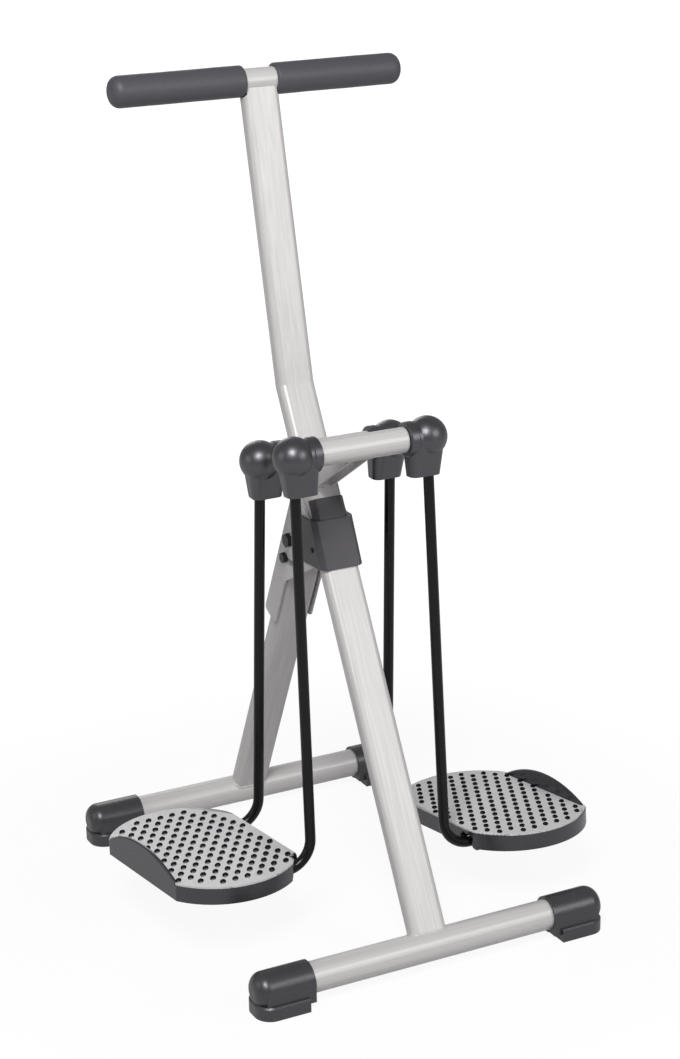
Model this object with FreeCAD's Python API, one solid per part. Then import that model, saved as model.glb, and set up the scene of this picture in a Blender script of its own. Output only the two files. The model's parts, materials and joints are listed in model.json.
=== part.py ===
import FreeCAD, Part
import math
import os

# Folding air walker: a T-shaped mast over an A-shaped stand, with two pedals that hang on bent rods
# from two crossbars. All sizes are in millimetres.
# X runs across the walker, +Y from the user towards the mast, Z up.
# The origin is on the floor, midway between the two base tubes.

V = FreeCAD.Vector

# Stand
base_length = 500.0            # over the rubber caps
base_track = 550.0             # between the axes of the two base tubes
base_axis_height = 31.0
base_tube_diameter = 40.0
base_tube_wall = 2.0

# Rubber caps on the base tubes
cap_length = 77.0
cap_wall = 4.0
cap_end_thickness = 11.0
cap_dome_radius = 17.0
cap_pad_height = 18.0
cap_pad_width = 56.0
cap_pad_length = 67.0
cap_pad_corner = 22.0

# Flat-oval tube of the post and the legs
oval_width = 50.0
oval_depth = 25.0
oval_corner = 9.0
oval_wall = 2.0

# Post: the near leg up to the bend, then the mast up to the handlebar
bend_height = 686.0
bend_setback = 83.0
handle_height = 1072.0
handle_setback = 173.0

# Handlebar and foam grips
handle_tube_diameter = 32.0
handle_tube_wall = 2.0
handle_length = 411.0          # over the foam grips
grip_thickness = 5.0
grip_end_thickness = 5.5
grip_end_radius = 13.0
grip_lip = 2.0
grip_gap = 44.0                # bare tube between the grips
grip_room = 0.6                # between a grip and the mast
handle_plug_length = 22.0

# Crossbars ahead of the post
near_bar_setback = -104.0
near_bar_height = 649.0
far_bar_setback = -5.0
far_bar_height = 619.0
bar_diameter = 33.0
bar_wall = 2.0
bar_length = 122.0
yoke_width = 28.0              # pressed yoke that carries both crossbars
yoke_sheet = 3.0
yoke_above_cover = 14.0        # from the top of the plastic cover to the yoke's foot, along the near leg
yoke_height = 53.0             # of its foot on the near leg
yoke_lip = 0.0                 # of its arms above the near crossbar's axis

# Stub axles, bushes and hubs in the knuckles
stub_diameter = 16.0
stub_plug_length = 18.0
stub_thread_diameter = 10.0
collar_gap = 1.0               # between the crossbar and the knuckle's collar
spacer_diameter = 25.0
hub_outer_diameter = 27.0
hub_length = 24.0
bush_wall = 2.0
bush_flange_thickness = 1.5
bush_flange_width = 2.5
axle_washer_thickness = 1.5
axle_nut_width = 16.0
axle_nut_height = 5.0
running_clearance = 0.06

# Knuckle covers
ball_diameter = 53.0
rod_offset = 94.0              # from the middle plane to a rod
collar_diameter = 45.0
collar_length = 12.0
cover_clearance = 0.5
neck_drop = 49.0
neck_top_width = 44.0
neck_foot_width = 26.0

# Rods
rod_diameter = 14.0
near_rod_length = 546.0        # from the crossbar axis to the pin axis
far_rod_length = 524.0
near_rod_lean = 3.55           # degrees from straight down, towards the user
parked_swing = 0.95            # degrees: the right pedal is parked this far forward, the left one back
right_drop = 13.0              # by which the right pedal hangs lower than the left one
rod_bend_radius = 37.0

# Pedal moulding and its plate
pedal_width = 173.0
pedal_length = 266.0
pedal_inner_gap = 25.0         # from the rod to the moulding
heel_inner_corner = 97.0       # from the middle of the moulding, along the swing
toe_inner_corner = 69.0
heel_outer_corner = 76.0
toe_outer_corner = 98.0
toe_inner_radius = 36.0
heel_inner_radius = 12.0
outer_radius = 5.0
pedal_wall = 3.0
pedal_height = 24.0
pedal_deck = 3.0
pedal_skew = 7.3               # degrees between the moulding and the swing
pedal_shift = 13.0             # from the middle of the pins to the middle of the moulding
pedal_wedge = 1.35             # degrees between the pins and the moulding
pin_spread = 162.0
pin_below_top = 17.0
plate_thickness = 2.5
plate_margin = 1.0
guard_rise = 22.0
guard_thickness = 5.0
guard_inset = 4.0              # of the guard's ends from the outer corners
rib_thickness = 2.5
rib_count = 5
rib_depth = 11.0

# Pins of the rods in the pedal lugs
lug_start = 46.0               # from the rod to the lug
lug_length = 24.0
lug_width = 29.0
lug_bush_wall = 2.0
open_pin_clearance = 3.4       # radial, in the lug of the far rod
pin_washer_thickness = 1.6
pin_washer_width = 16.0
pin_nut_width = 13.0
pin_nut_height = 5.0
pin_thread_diameter = 8.0
notch_clearance = 4.0
notch_swing = 12.5              # degrees that a rod turns in the pedal, each way

# Folding bracket
bracket_gap = 0.4              # between the tube and each cheek
bracket_sheet = 2.6
bracket_foot = 360.0           # along the far leg, from the base tube
bracket_throat = 440.0
bracket_top = 556.0            # along the near leg, from the base tube
bracket_front_low = 505.0
bracket_front_inset = 3.5      # of the cheeks' front edge behind the front of the near leg
web_clearance = 5.4
weld_pad_diameter = 16.0
bracket_corner = 6.0
stop_bolt_drop = 99.0          # below the pivot, along the far leg
stop_bolt_diameter = 6.0
stop_head_width = 10.0
stop_head_height = 4.0

# Folding joint
pivot_along = 505.0            # along the far leg, from the base tube
pivot_bolt_diameter = 10.0
pivot_head_width = 17.0
pivot_head_height = 6.4
pivot_sleeve_wall = 2.5
guide_radius = 32.0
guide_bolt_diameter = 8.0
guide_head_width = 13.0
guide_head_height = 5.3
guide_slot_clearance = 0.4
washer_thickness = 1.6
fold_angle = 54.0              # degrees
far_leg_head = 18.0            # of the far leg above the pivot

# Plastic cover round the top of the near leg
cover_foot = 494.0             # along the near leg
cover_step = 559.0
cover_top = 589.0
cover_wall = 1.8
cover_gap = 0.4
cover_foot_stand = 2.4         # of the front from the leg, at the foot
cover_step_stand = 6.5         # the same at the step
cover_upper_stand = 5.0        # of the upper tier's front from the leg
cover_side_reach = 30.2        # from the pivot's axis forward to the rear edge of its sides
cover_upper_width = 48.5
cover_lap = 4.0                # of the upper tier into the lower one
cover_roof_inset = 4.0         # of the roof's rear edge ahead of the back of the near leg
cover_side_drop = 6.0          # of the sides' rear corners below the front ones
cheek_room_reach = 90.0        # of the room for the cheeks, below the cover's foot and behind the leg
cover_chamfer = 6.5
cover_screw_diameter = 3.0
cover_screw_head = 6.5

# Positions that follow from the sizes above
near_base = V(0, -base_track / 2, base_axis_height)
far_base = V(0, base_track / 2, base_axis_height)
bend = V(0, bend_setback, bend_height)
handle_axis = V(0, handle_setback, handle_height)
near_bar = V(0, near_bar_setback, near_bar_height)
far_bar = V(0, far_bar_setback, far_bar_height)
leg_direction = (bend - near_base).normalize()
mast_direction = (handle_axis - bend).normalize()
leg_back = V(0, leg_direction.z, -leg_direction.y)
bar_end = bar_length / 2
collar_face = bar_end + collar_gap
hub_bore = stub_diameter + 2 * bush_wall
hub_start = rod_offset - hub_length / 2
hub_end = rod_offset + hub_length / 2
oval_half = oval_depth / 2
cheek_inner = oval_width / 2 + bracket_gap
cheek_outer = cheek_inner + bracket_sheet
past_side = 2 * cheek_outer    # reach of a cut that goes past both sides of the bracket
yoke_foot = cover_top + yoke_above_cover
yoke_head = yoke_foot + yoke_height
web_front = oval_half + web_clearance
web_back = web_front + bracket_sheet
pin_start = rod_offset + rod_bend_radius
lug_inner = rod_offset + lug_start
lug_outer = lug_inner + lug_length
pin_shoulder = lug_outer + bush_flange_thickness
pin_end = pin_shoulder + pin_washer_thickness + pin_nut_height + 1.0


def angle_direction(lean):
    """Downward direction of a rod that leans by this many degrees away from the user."""
    return V(0, math.sin(math.radians(lean)), -math.cos(math.radians(lean)))


class Linkage:
    """Rods and pins of one side. The near rod is leant, and the far pin follows from the pins' spread."""

    def __init__(self, side):
        self.side = side
        self.near_down = angle_direction(-near_rod_lean - parked_swing * side)
        drop = right_drop if side > 0 else 0.0
        self.near_length = near_rod_length + drop
        self.far_length = far_rod_length + drop
        self.near_pin = near_bar + self.near_down * self.near_length
        gap = far_bar - self.near_pin
        reach = gap.Length
        along = (pin_spread ** 2 - self.far_length ** 2 + reach ** 2) / (2 * reach)
        height = math.sqrt(pin_spread ** 2 - along ** 2)
        unit = V(gap).normalize()
        self.far_pin = self.near_pin + unit * along + V(0, unit.z, -unit.y) * height
        self.far_down = (self.far_pin - far_bar).normalize()
        self.pin_line = (self.far_pin - self.near_pin).normalize()
        self.pin_middle = (self.near_pin + self.far_pin) * 0.5
        self.tilt = math.degrees(math.atan2(self.pin_line.z, self.pin_line.y))


right = Linkage(1)
left = Linkage(-1)


def far_leg_line():
    """Direction of the far leg, up from its base tube to the pivot on the near leg's slope."""
    crossing_height = base_axis_height + (base_track / 2) / far_leg_slope
    return V(0, -base_track / 2, crossing_height - base_axis_height).normalize()


# The far leg stands nearly as steep as the near leg, and its top meets the post under the crossbars.
far_leg_slope = 0.4915         # setback per height
far_leg_direction = far_leg_line()
far_leg_back = V(0, far_leg_direction.z, -far_leg_direction.y)
pivot = far_base + far_leg_direction * pivot_along
guide = pivot - far_leg_direction * guide_radius


def export(shape, name):
    shape.exportStep("parts/" + name + ".step")


def cylinder(start, direction, radius, length):
    return Part.makeCylinder(radius, length, start, direction)


def across(center, radius, x_start, x_end):
    """Round bar along X between two stations."""
    return cylinder(V(x_start, center.y, center.z), V(1, 0, 0), radius, x_end - x_start)


def ring(center, outer, inner, x_start, x_end):
    """Round sleeve along X between two stations, on either side of the middle."""
    low = min(x_start, x_end)
    high = max(x_start, x_end)
    return across(center, outer, low, high).cut(across(center, inner, low - 1, high + 1))


def wire_of(points):
    return Part.makePolygon(points + [points[0]])


def side_plate(points, x_start, x_end):
    """Flat plate in a plane across X, from (setback, height) corners."""
    corners = [V(x_start, p[0], p[1]) for p in points]
    return Part.Face(wire_of(corners)).extrude(V(x_end - x_start, 0, 0))


def oval_wire(width, depth, corner, origin, normal, back):
    """Rounded rectangle square to the normal, with its depth along the back direction."""
    def at(x, d):
        return origin + V(x, 0, 0) + back * d
    half_width = width / 2
    half_depth = depth / 2
    corner = min(corner, half_depth - 0.01)
    flat_x = half_width - corner
    flat_d = half_depth - corner
    turn = corner * math.sqrt(0.5)
    edges = []
    for sx, sd in ((1, 1), (-1, 1), (-1, -1), (1, -1)):
        side_point = at(sx * half_width, sd * flat_d)
        middle_point = at(sx * (flat_x + turn), sd * (flat_d + turn))
        end_point = at(sx * flat_x, sd * half_depth)
        if sx * sd > 0:
            edges.append(Part.Arc(side_point, middle_point, end_point).toShape())
        else:
            edges.append(Part.Arc(end_point, middle_point, side_point).toShape())
    lines = []
    for index in range(4):
        start = edges[index].Vertexes[-1].Point
        finish = edges[(index + 1) % 4].Vertexes[0].Point
        lines.append(Part.LineSegment(start, finish).toShape())
    ordered = []
    for index in range(4):
        ordered.append(edges[index])
        ordered.append(lines[index])
    return Part.Wire(ordered)


def oval_solid(start, direction, back, length, grow=0.0):
    """Solid of the flat-oval tube's outside, grown all round if asked."""
    wire = oval_wire(oval_width + 2 * grow, oval_depth + 2 * grow, oval_corner + grow, start, direction, back)
    return Part.Face(wire).extrude(direction * length)


def oval_tube(start, direction, back, length):
    outside = oval_solid(start, direction, back, length)
    inside = oval_solid(start - direction, direction, back, length + 2, -oval_wall)
    return outside.cut(inside)


def hexagon(center, width, x_start, x_end):
    """Hexagonal prism along X, given its width across flats."""
    radius = width / math.sqrt(3)
    corners = []
    for index in range(6):
        turn = math.radians(60 * index + 30)
        corners.append(V(x_start, center.y + radius * math.cos(turn), center.z + radius * math.sin(turn)))
    return Part.Face(wire_of(corners)).extrude(V(x_end - x_start, 0, 0))


def half_space(point, normal, size=2000.0):
    """Large block on the side of a plane that its normal points to."""
    turn = V(1, 0, 0)
    second = normal.cross(turn).normalize()
    corner = point - turn * size / 2 - second * size / 2
    corners = [corner, corner + turn * size, corner + turn * size + second * size, corner + second * size]
    return Part.Face(wire_of(corners)).extrude(normal * size)


def mirrored(shape):
    return shape.mirror(V(0, 0, 0), V(1, 0, 0))


def on_side(shape, side):
    """Shape made on the +X side, moved to the side asked for."""
    return shape if side > 0 else mirrored(shape)


# Stand

def base_tube(center):
    half = base_length / 2 - cap_end_thickness
    return ring(center, base_tube_diameter / 2, base_tube_diameter / 2 - base_tube_wall, -half, half)


def domed_bar(center, radius, start, end, dome):
    """Round bar along X with a rounded far end."""
    bar = across(center, radius, start, end)
    rim = [edge for edge in bar.Edges if edge.BoundBox.XMin > end - 0.1]
    return bar.makeFillet(dome, rim)


def base_cap(center):
    """Rubber cap for the +X end of a base tube: a domed sleeve grown into a flat foot pad."""
    outer = base_length / 2
    mouth = outer - cap_length
    radius = base_tube_diameter / 2 + cap_wall
    dome = min(cap_dome_radius, radius - 2)
    y = center.y
    sleeve = domed_bar(center, radius, mouth, outer, dome)
    skirt = Part.makeBox(
        cap_length - dome * 0.6, 2 * radius - 1.0, center.z - cap_pad_height / 2,
        V(mouth, y - radius + 0.5, cap_pad_height / 2),
    )
    pad_start = mouth + cap_length - cap_pad_length
    pad = Part.makeBox(cap_pad_length, cap_pad_width, cap_pad_height, V(pad_start, y - cap_pad_width / 2, 0))
    corners = [edge for edge in pad.Edges if is_upright(edge) and edge.CenterOfMass.x > outer - 1]
    pad = pad.makeFillet(cap_pad_corner, corners)
    rim = [edge for edge in pad.Edges if edge.CenterOfMass.z > cap_pad_height - 0.1 and is_level(edge)]
    rim = [edge for edge in rim if edge.CenterOfMass.x > pad_start + 0.1]
    pad = pad.makeChamfer(2.0, rim)
    body = sleeve.fuse([skirt, pad]).removeSplitter()
    bore = across(center, base_tube_diameter / 2 + 0.05, mouth - 1, outer - cap_end_thickness + 0.05)
    return body.cut(bore)


def is_upright(edge):
    box = edge.BoundBox
    return box.XLength < 0.01 and box.YLength < 0.01 and box.ZLength > 0.5


def is_level(edge):
    return edge.BoundBox.ZLength < 0.01


def is_crosswise(edge):
    box = edge.BoundBox
    return box.YLength < 0.01 and box.ZLength < 0.01


def base_cutter(center):
    return across(center, base_tube_diameter / 2, -100, 100)


def mitre_plane():
    return (leg_direction + mast_direction).normalize()


def near_leg():
    length = (bend - near_base).Length
    tube = oval_tube(near_base, leg_direction, leg_back, length + oval_width)
    tube = tube.cut(half_space(bend, mitre_plane()))
    return tube.cut(base_cutter(near_base))


def mast():
    length = (handle_axis - bend).Length
    back = V(0, mast_direction.z, -mast_direction.y)
    tube = oval_tube(bend - mast_direction * oval_width, mast_direction, back, length + oval_width)
    tube = tube.cut(half_space(bend, mitre_plane() * -1))
    tube = tube.cut(across(handle_axis, handle_tube_diameter / 2, -100, 100))
    # The corners of its head give way to the grips.
    reach = handle_tube_diameter / 2 + grip_thickness + grip_room
    for sense in (-1, 1):
        tube = tube.cut(ring(handle_axis, reach, 1.0, sense * (grip_gap / 2 - grip_room), sense * oval_width))
    return tube


def handle_tube():
    half = handle_length / 2 - grip_end_thickness
    outer = handle_tube_diameter / 2
    return ring(handle_axis, outer, outer - handle_tube_wall, -half, half)


def grip():
    """Foam grip on the +X end of the handlebar, closed by a rounded end."""
    start = grip_gap / 2
    end = handle_length / 2
    radius = handle_tube_diameter / 2 + grip_thickness
    turn = min(grip_end_radius, radius - 2)
    body = domed_bar(handle_axis, radius, start, end, turn)
    mouth = [edge for edge in body.Edges if edge.BoundBox.XMax < start + 0.1]
    body = body.makeChamfer(grip_lip, mouth)
    bore_end = end - grip_end_thickness + 0.02
    return body.cut(across(handle_axis, handle_tube_diameter / 2 + 0.02, start - 1, bore_end))


def handle_plugs():
    end = handle_length / 2 - grip_end_thickness
    radius = handle_tube_diameter / 2 - handle_tube_wall - 0.02
    plug = across(handle_axis, radius, end - handle_plug_length, end)
    plug = plug.cut(across(handle_axis, radius - 2.5, end - handle_plug_length - 1, end - 3))
    return Part.makeCompound([plug, mirrored(plug)])


# Crossbars and their yoke

def crossbar(center):
    return ring(center, bar_diameter / 2, bar_diameter / 2 - bar_wall, -bar_end, bar_end)


def yoke():
    """Pressed yoke: a web on the front of the near leg and two arms that carry both crossbars."""
    half = yoke_width / 2
    reach = bar_diameter / 2
    foot = on_near_leg(yoke_foot, -oval_half)
    head = on_near_leg(yoke_head, -oval_half)
    outline = [
        foot,
        head,
        (near_bar.y, near_bar.z + yoke_lip),
        (near_bar.y, near_bar.z - reach),
    ]
    arms = side_plate(outline, -half, half)
    web_face = -oval_half - yoke_sheet
    window = [
        on_near_leg(yoke_foot - yoke_height, web_face),
        on_near_leg(yoke_head + yoke_height, web_face),
        (near_bar.y - 2 * bar_diameter, near_bar.z + 3 * bar_diameter),
        (near_bar.y - 2 * bar_diameter, near_bar.z - 3 * bar_diameter),
    ]
    body = arms.cut(side_plate(window, -half + yoke_sheet, half - yoke_sheet))
    for center in (near_bar, far_bar):
        body = body.cut(across(center, reach, -yoke_width, yoke_width))
    return body


def stub_axle(center):
    """Turned plug in the +X end of a crossbar, with a journal and a threaded end."""
    plug_radius = bar_diameter / 2 - bar_wall - 0.01
    plug = across(center, plug_radius, bar_end - stub_plug_length, bar_end)
    journal_end = hub_end + bush_flange_thickness
    journal = across(center, stub_diameter / 2, bar_end, journal_end)
    thread_end = journal_end + axle_washer_thickness + axle_nut_height + 0.5
    thread = across(center, stub_thread_diameter / 2, journal_end, thread_end)
    return plug.fuse([journal, thread]).removeSplitter()


def both_sides(maker):
    """Group of four equal pieces, one on each end of each crossbar."""
    pieces = []
    for center in (near_bar, far_bar):
        piece = maker(center)
        pieces.append(piece)
        pieces.append(mirrored(piece))
    return Part.makeCompound(pieces)


def axle_spacer(center):
    """Sleeve on the journal that keeps the hub away from the crossbar."""
    inner = stub_diameter / 2 + 0.02
    return ring(center, spacer_diameter / 2, inner, bar_end, hub_start - bush_flange_thickness)


def axle_nut(center):
    start = hub_end + bush_flange_thickness
    nut_start = start + axle_washer_thickness
    washer = ring(center, axle_nut_width / 2 + 1, stub_thread_diameter / 2, start, nut_start)
    nut = hexagon(center, axle_nut_width, nut_start, nut_start + axle_nut_height)
    nut = nut.cut(across(center, stub_thread_diameter / 2, start - 1, start + 30))
    return washer.fuse(nut).removeSplitter()


# Rods with their hubs, and what turns with them

def rod_path(center, down, length):
    """Centre line of a rod on the +X side: straight down, then turned outwards to the pin."""
    top = center + V(rod_offset, 0, 0)
    turn_start = top + down * (length - rod_bend_radius)
    turn_middle = turn_start + down * (rod_bend_radius * math.sqrt(0.5))
    turn_middle = turn_middle + V(rod_bend_radius * (1 - math.sqrt(0.5)), 0, 0)
    turn_end = turn_start + down * rod_bend_radius + V(rod_bend_radius, 0, 0)
    finish = V(pin_shoulder, turn_end.y, turn_end.z)
    return [
        Part.LineSegment(top, turn_start).toShape(),
        Part.Arc(turn_start, turn_middle, turn_end).toShape(),
        Part.LineSegment(turn_end, finish).toShape(),
    ]


def rod(center, down, length):
    path = Part.Wire(rod_path(center, down, length))
    top = center + V(rod_offset, 0, 0)
    circle = Part.Wire(Part.Circle(top, down, rod_diameter / 2).toShape())
    bar = path.makePipeShell([circle], True, False)
    pin = center + down * length
    thread = across(pin, pin_thread_diameter / 2, pin_shoulder - 0.5, pin_end)
    hub = across(center, hub_outer_diameter / 2, hub_start, hub_end)
    joined = bar.fuse([thread, hub]).removeSplitter()
    return joined.cut(across(center, hub_bore / 2, hub_start - 10, hub_end + 10))


def hub_bush(center):
    """Two flanged halves of the plain bush in a hub."""
    outer = hub_bore / 2 - 0.01
    inner = stub_diameter / 2 + running_clearance
    flange = hub_bore / 2 + bush_flange_width
    gap = 1.0
    pieces = []
    for end, sense in ((hub_start, -1), (hub_end, 1)):
        sleeve = ring(center, outer, inner, end, rod_offset + sense * gap)
        collar = ring(center, flange, inner, end, end + sense * (bush_flange_thickness - 0.1))
        pieces.append(sleeve.fuse(collar).removeSplitter())
    return Part.makeCompound(pieces)


def pin_nut(center):
    start = pin_shoulder
    washer = ring(center, pin_washer_width / 2, pin_thread_diameter / 2, start, start + pin_washer_thickness)
    nut_start = start + pin_washer_thickness
    nut = hexagon(center, pin_nut_width, nut_start, nut_start + pin_nut_height)
    nut = nut.cut(across(center, pin_thread_diameter / 2, start - 1, pin_end + 1))
    return washer.fuse(nut).removeSplitter()


def rounded_section(width, depth, corner, x_middle, center, down, drop):
    """Level rounded rectangle round a rod, at a drop below the crossbar axis."""
    origin = center + down * drop + V(x_middle, 0, 0)
    back = V(0, -down.z, down.y)
    return oval_wire(width, depth, corner, origin, down, back)


def knuckle_cover(center, down):
    """Ball, inner collar and neck, hollow for the hub and the stub axle."""
    radius = ball_diameter / 2
    collar_radius = collar_diameter / 2
    ball = Part.makeSphere(radius, center + V(rod_offset, 0, 0), V(1, 0, 0))
    collar_end = collar_face + collar_length
    groove = 1.2
    profile = wire_of([
        V(collar_face, center.y, center.z),
        V(collar_face, center.y, center.z + collar_radius - 1.5),
        V(collar_face + 1.5, center.y, center.z + collar_radius),
        V(collar_end - groove, center.y, center.z + collar_radius),
        V(collar_end, center.y, center.z + collar_radius - groove),
        V(rod_offset, center.y, center.z + collar_radius - groove),
        V(rod_offset, center.y, center.z),
    ])
    collar = Part.Face(profile).revolve(V(0, center.y, center.z), V(1, 0, 0), 360)
    neck_inner = collar_face + 1.5
    top_outer = rod_offset + neck_top_width / 2 - 2.0
    foot_outer = rod_offset + neck_foot_width / 2
    foot_inner = collar_face + 3.5
    sections = [
        rounded_section(
            top_outer - neck_inner, neck_top_width - 2, 15.0,
            (top_outer + neck_inner) / 2, center, down, radius * 0.2,
        ),
        rounded_section(
            foot_outer - foot_inner, neck_foot_width, 9.0,
            (foot_outer + foot_inner) / 2, center, down, neck_drop,
        ),
    ]
    neck = Part.makeLoft(sections, True, True)
    body = ball.fuse([collar, neck]).removeSplitter()
    cavity_radius = hub_outer_diameter / 2 + cover_clearance
    cavity_end = hub_end + bush_flange_thickness + axle_washer_thickness
    cavity = across(center, cavity_radius, collar_face - 1, cavity_end)
    nut_room_end = cavity_end + axle_nut_height + 1.0
    nut_room = across(center, axle_nut_width / math.sqrt(3) + 1.0, cavity_end - 1, nut_room_end)
    rod_room = cylinder(center + V(rod_offset, 0, 0), down, rod_diameter / 2 + 0.03, neck_drop + 10)
    return body.cut(cavity.fuse([nut_room, rod_room]))


# Pedals. The moulding is made flat on the +X side, round the middle of its two pins.
# It is then laid on the line between the pins.

def end_points(start, middle, end, inset):
    """Three points of a pedal's rounded end, drawn in towards its centre and between the drawn-in sides."""
    circle = Part.Arc(start, middle, end).toShape().Curve
    center = circle.Center
    radius = circle.Radius - inset
    sense = 1 if middle.y > center.y else -1
    inward = 1 if end.x > start.x else -1
    points = []
    for x in (start.x + inset * inward, middle.x, end.x - inset * inward):
        points.append(V(x, center.y + sense * math.sqrt(radius ** 2 - (x - center.x) ** 2), middle.z))
    return points


def pedal_outline(inset, height, rise):
    """Solid of the pedal's plan, drawn in from its edge by the inset. The toe points along +Y."""
    inner = rod_offset + pedal_inner_gap
    outer = inner + pedal_width
    middle = (inner + outer) / 2
    toe = end_points(
        V(inner, toe_inner_corner, height), V(middle, pedal_length / 2, height),
        V(outer, toe_outer_corner, height), inset,
    )
    heel = end_points(
        V(outer, -heel_outer_corner, height), V(middle, -pedal_length / 2, height),
        V(inner, -heel_inner_corner, height), inset,
    )
    edges = [
        Part.Arc(*toe).toShape(),
        Part.LineSegment(toe[2], heel[0]).toShape(),
        Part.Arc(*heel).toShape(),
        Part.LineSegment(heel[2], toe[0]).toShape(),
    ]
    solid = Part.Face(Part.Wire(edges)).extrude(V(0, 0, rise))
    corners = (
        (toe[0], toe_inner_radius),
        (heel[2], heel_inner_radius),
        (toe[2], outer_radius),
        (heel[0], outer_radius),
    )
    for corner, radius in corners:
        found = [e for e in solid.Edges if is_upright(e) and near_corner(e, corner)]
        solid = solid.makeFillet(max(radius - inset, 0.6), found)
    return solid


def near_corner(edge, corner):
    point = edge.CenterOfMass
    return abs(point.x - corner.x) < 0.1 and abs(point.y - corner.y) < 0.1


def placed_moulding(shape):
    """Moulding shape from its own frame to the frame of the pins: wedge, skew and shift."""
    middle = V(rod_offset + pedal_inner_gap + pedal_width / 2, 0, 0)
    turned = shape.copy()
    turned.rotate(middle, V(1, 0, 0), pedal_wedge)
    turned.rotate(middle, V(0, 0, 1), -pedal_skew)
    turned.translate(V(0, pedal_shift, 0))
    return turned


def guard():
    """Arched wall along the outer side."""
    outer = rod_offset + pedal_inner_gap + pedal_width
    heel = -heel_outer_corner + guard_inset
    toe = toe_outer_corner - guard_inset
    middle = (heel + toe) / 2
    foot = -pedal_height / 2
    edges = [
        Part.LineSegment(V(outer, toe, foot), V(outer, heel, foot)).toShape(),
        Part.LineSegment(V(outer, heel, foot), V(outer, heel, 0)).toShape(),
        Part.Arc(V(outer, heel, 0), V(outer, middle, guard_rise), V(outer, toe, 0)).toShape(),
        Part.LineSegment(V(outer, toe, 0), V(outer, toe, foot)).toShape(),
    ]
    wall = Part.Face(Part.Wire(edges)).extrude(V(-guard_thickness, 0, 0))
    crest = [e for e in wall.Edges if e.BoundBox.ZMax > guard_rise - 0.5 and e.BoundBox.YLength > guard_rise]
    return wall.makeChamfer(min(1.4, guard_thickness * 0.3), crest)


def pedal_ribs(hollow):
    """Ribs under the deck, across and along."""
    inner = rod_offset + pedal_inner_gap
    top = -plate_thickness - pedal_deck + 0.2
    pieces = []
    pitch = pedal_length / (rib_count + 1)
    for index in range(rib_count):
        y = pitch * (index + 1) - pedal_length / 2
        corner = V(inner, y - rib_thickness / 2, top - rib_depth)
        pieces.append(Part.makeBox(pedal_width, rib_thickness, rib_depth, corner))
    for share in (1, 2):
        x = inner + pedal_width * share / 3
        corner = V(x, -pedal_length / 2, top - rib_depth)
        pieces.append(Part.makeBox(rib_thickness, pedal_length, rib_depth, corner))
    return pieces[0].fuse(pieces[1:]).common(hollow)


def pedal_frame_pins():
    """Pin centres in the flat frame of the pedal, near one first."""
    return [V(0, -pin_spread / 2, -pin_below_top), V(0, pin_spread / 2, -pin_below_top)]


def lug(pin, link):
    """Boss round a pin, hanging from the deck and ending inside its thickness."""
    barrel = across(pin, lug_width / 2, lug_inner, lug_outer)
    web = Part.makeBox(lug_length, lug_width, lug_width, V(lug_inner, pin.y - lug_width / 2, pin.z))
    start = V(rod_offset, -pedal_length, -plate_thickness - pedal_deck / 2)
    above = Part.makeBox(pedal_width + pedal_inner_gap, 2 * pedal_length, 2 * lug_width, start)
    return barrel.fuse(web).cut(for_side(placed_moulding(above), link))


def bend_room(pin, link):
    """Room that the bend of a rod sweeps in the pedal, in the frame of the pins."""
    reach = rod_diameter / 2 + notch_clearance
    inside = rod_bend_radius - reach
    turn = inside * math.sqrt(0.5)
    left_edge = rod_offset - reach - 3
    right_edge = rod_offset + reach
    tall = 60.0
    profile = [
        Part.LineSegment(V(left_edge, -reach, -40), V(left_edge, -reach, tall)).toShape(),
        Part.LineSegment(V(left_edge, -reach, tall), V(right_edge, -reach, tall)).toShape(),
        Part.LineSegment(V(right_edge, -reach, tall), V(right_edge, -reach, rod_bend_radius)).toShape(),
        Part.Arc(
            V(right_edge, -reach, rod_bend_radius),
            V(pin_start - turn, -reach, rod_bend_radius - turn),
            V(pin_start, -reach, reach),
        ).toShape(),
        Part.LineSegment(V(pin_start, -reach, reach), V(lug_inner, -reach, reach)).toShape(),
        Part.LineSegment(V(lug_inner, -reach, reach), V(lug_inner, -reach, -40)).toShape(),
        Part.LineSegment(V(lug_inner, -reach, -40), V(left_edge, -reach, -40)).toShape(),
    ]
    slab = Part.Face(Part.Wire(profile)).extrude(V(0, 2 * reach, 0))
    down = link.near_down if pin.y < 0 else link.far_down
    lean = math.degrees(math.atan2(down.y, -down.z)) - link.tilt
    pieces = []
    for swing in (-notch_swing, notch_swing):
        piece = slab.copy()
        piece.rotate(V(0, 0, 0), V(1, 0, 0), lean + swing)
        piece.translate(pin)
        pieces.append(piece)
    return pieces


def pedal_tray(link):
    """Black moulding: an open-bottomed tray with ribs, guard and two lugs."""
    deck_top = -plate_thickness
    outside = pedal_outline(0, -pedal_height, pedal_height - plate_thickness)
    hollow = pedal_outline(pedal_wall, -pedal_height - 1, pedal_height + 1 - plate_thickness - pedal_deck)
    ribs = pedal_ribs(pedal_outline(pedal_wall - 0.2, -pedal_height, pedal_height - plate_thickness))
    shell = outside.cut(hollow).fuse([ribs, guard()])
    shell = for_side(placed_moulding(shell), link)
    pins = pedal_frame_pins()
    lugs = []
    for pin in pins:
        lugs.append(lug(pin, link))
    shell = shell.fuse(lugs).removeSplitter()
    # Room for the bend of each rod, for its washer and nut, and the bores of the lugs.
    ceiling = deck_top - pedal_deck
    for pin in pins:
        half = lug_width / 2 + 1.5
        room_length = pin_end - lug_outer + 8
        end_room = Part.makeBox(room_length, 2 * half, 40, V(lug_outer, pin.y - half, ceiling - 40))
        shell = shell.cut(end_room.fuse(bend_room(pin, link)))
    near, far = pins
    shell = shell.cut(across(near, rod_diameter / 2 + lug_bush_wall, lug_inner - 1, lug_outer + 1))
    return shell.cut(across(far, rod_diameter / 2 + open_pin_clearance, lug_inner - 1, lug_outer + 1))


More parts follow.
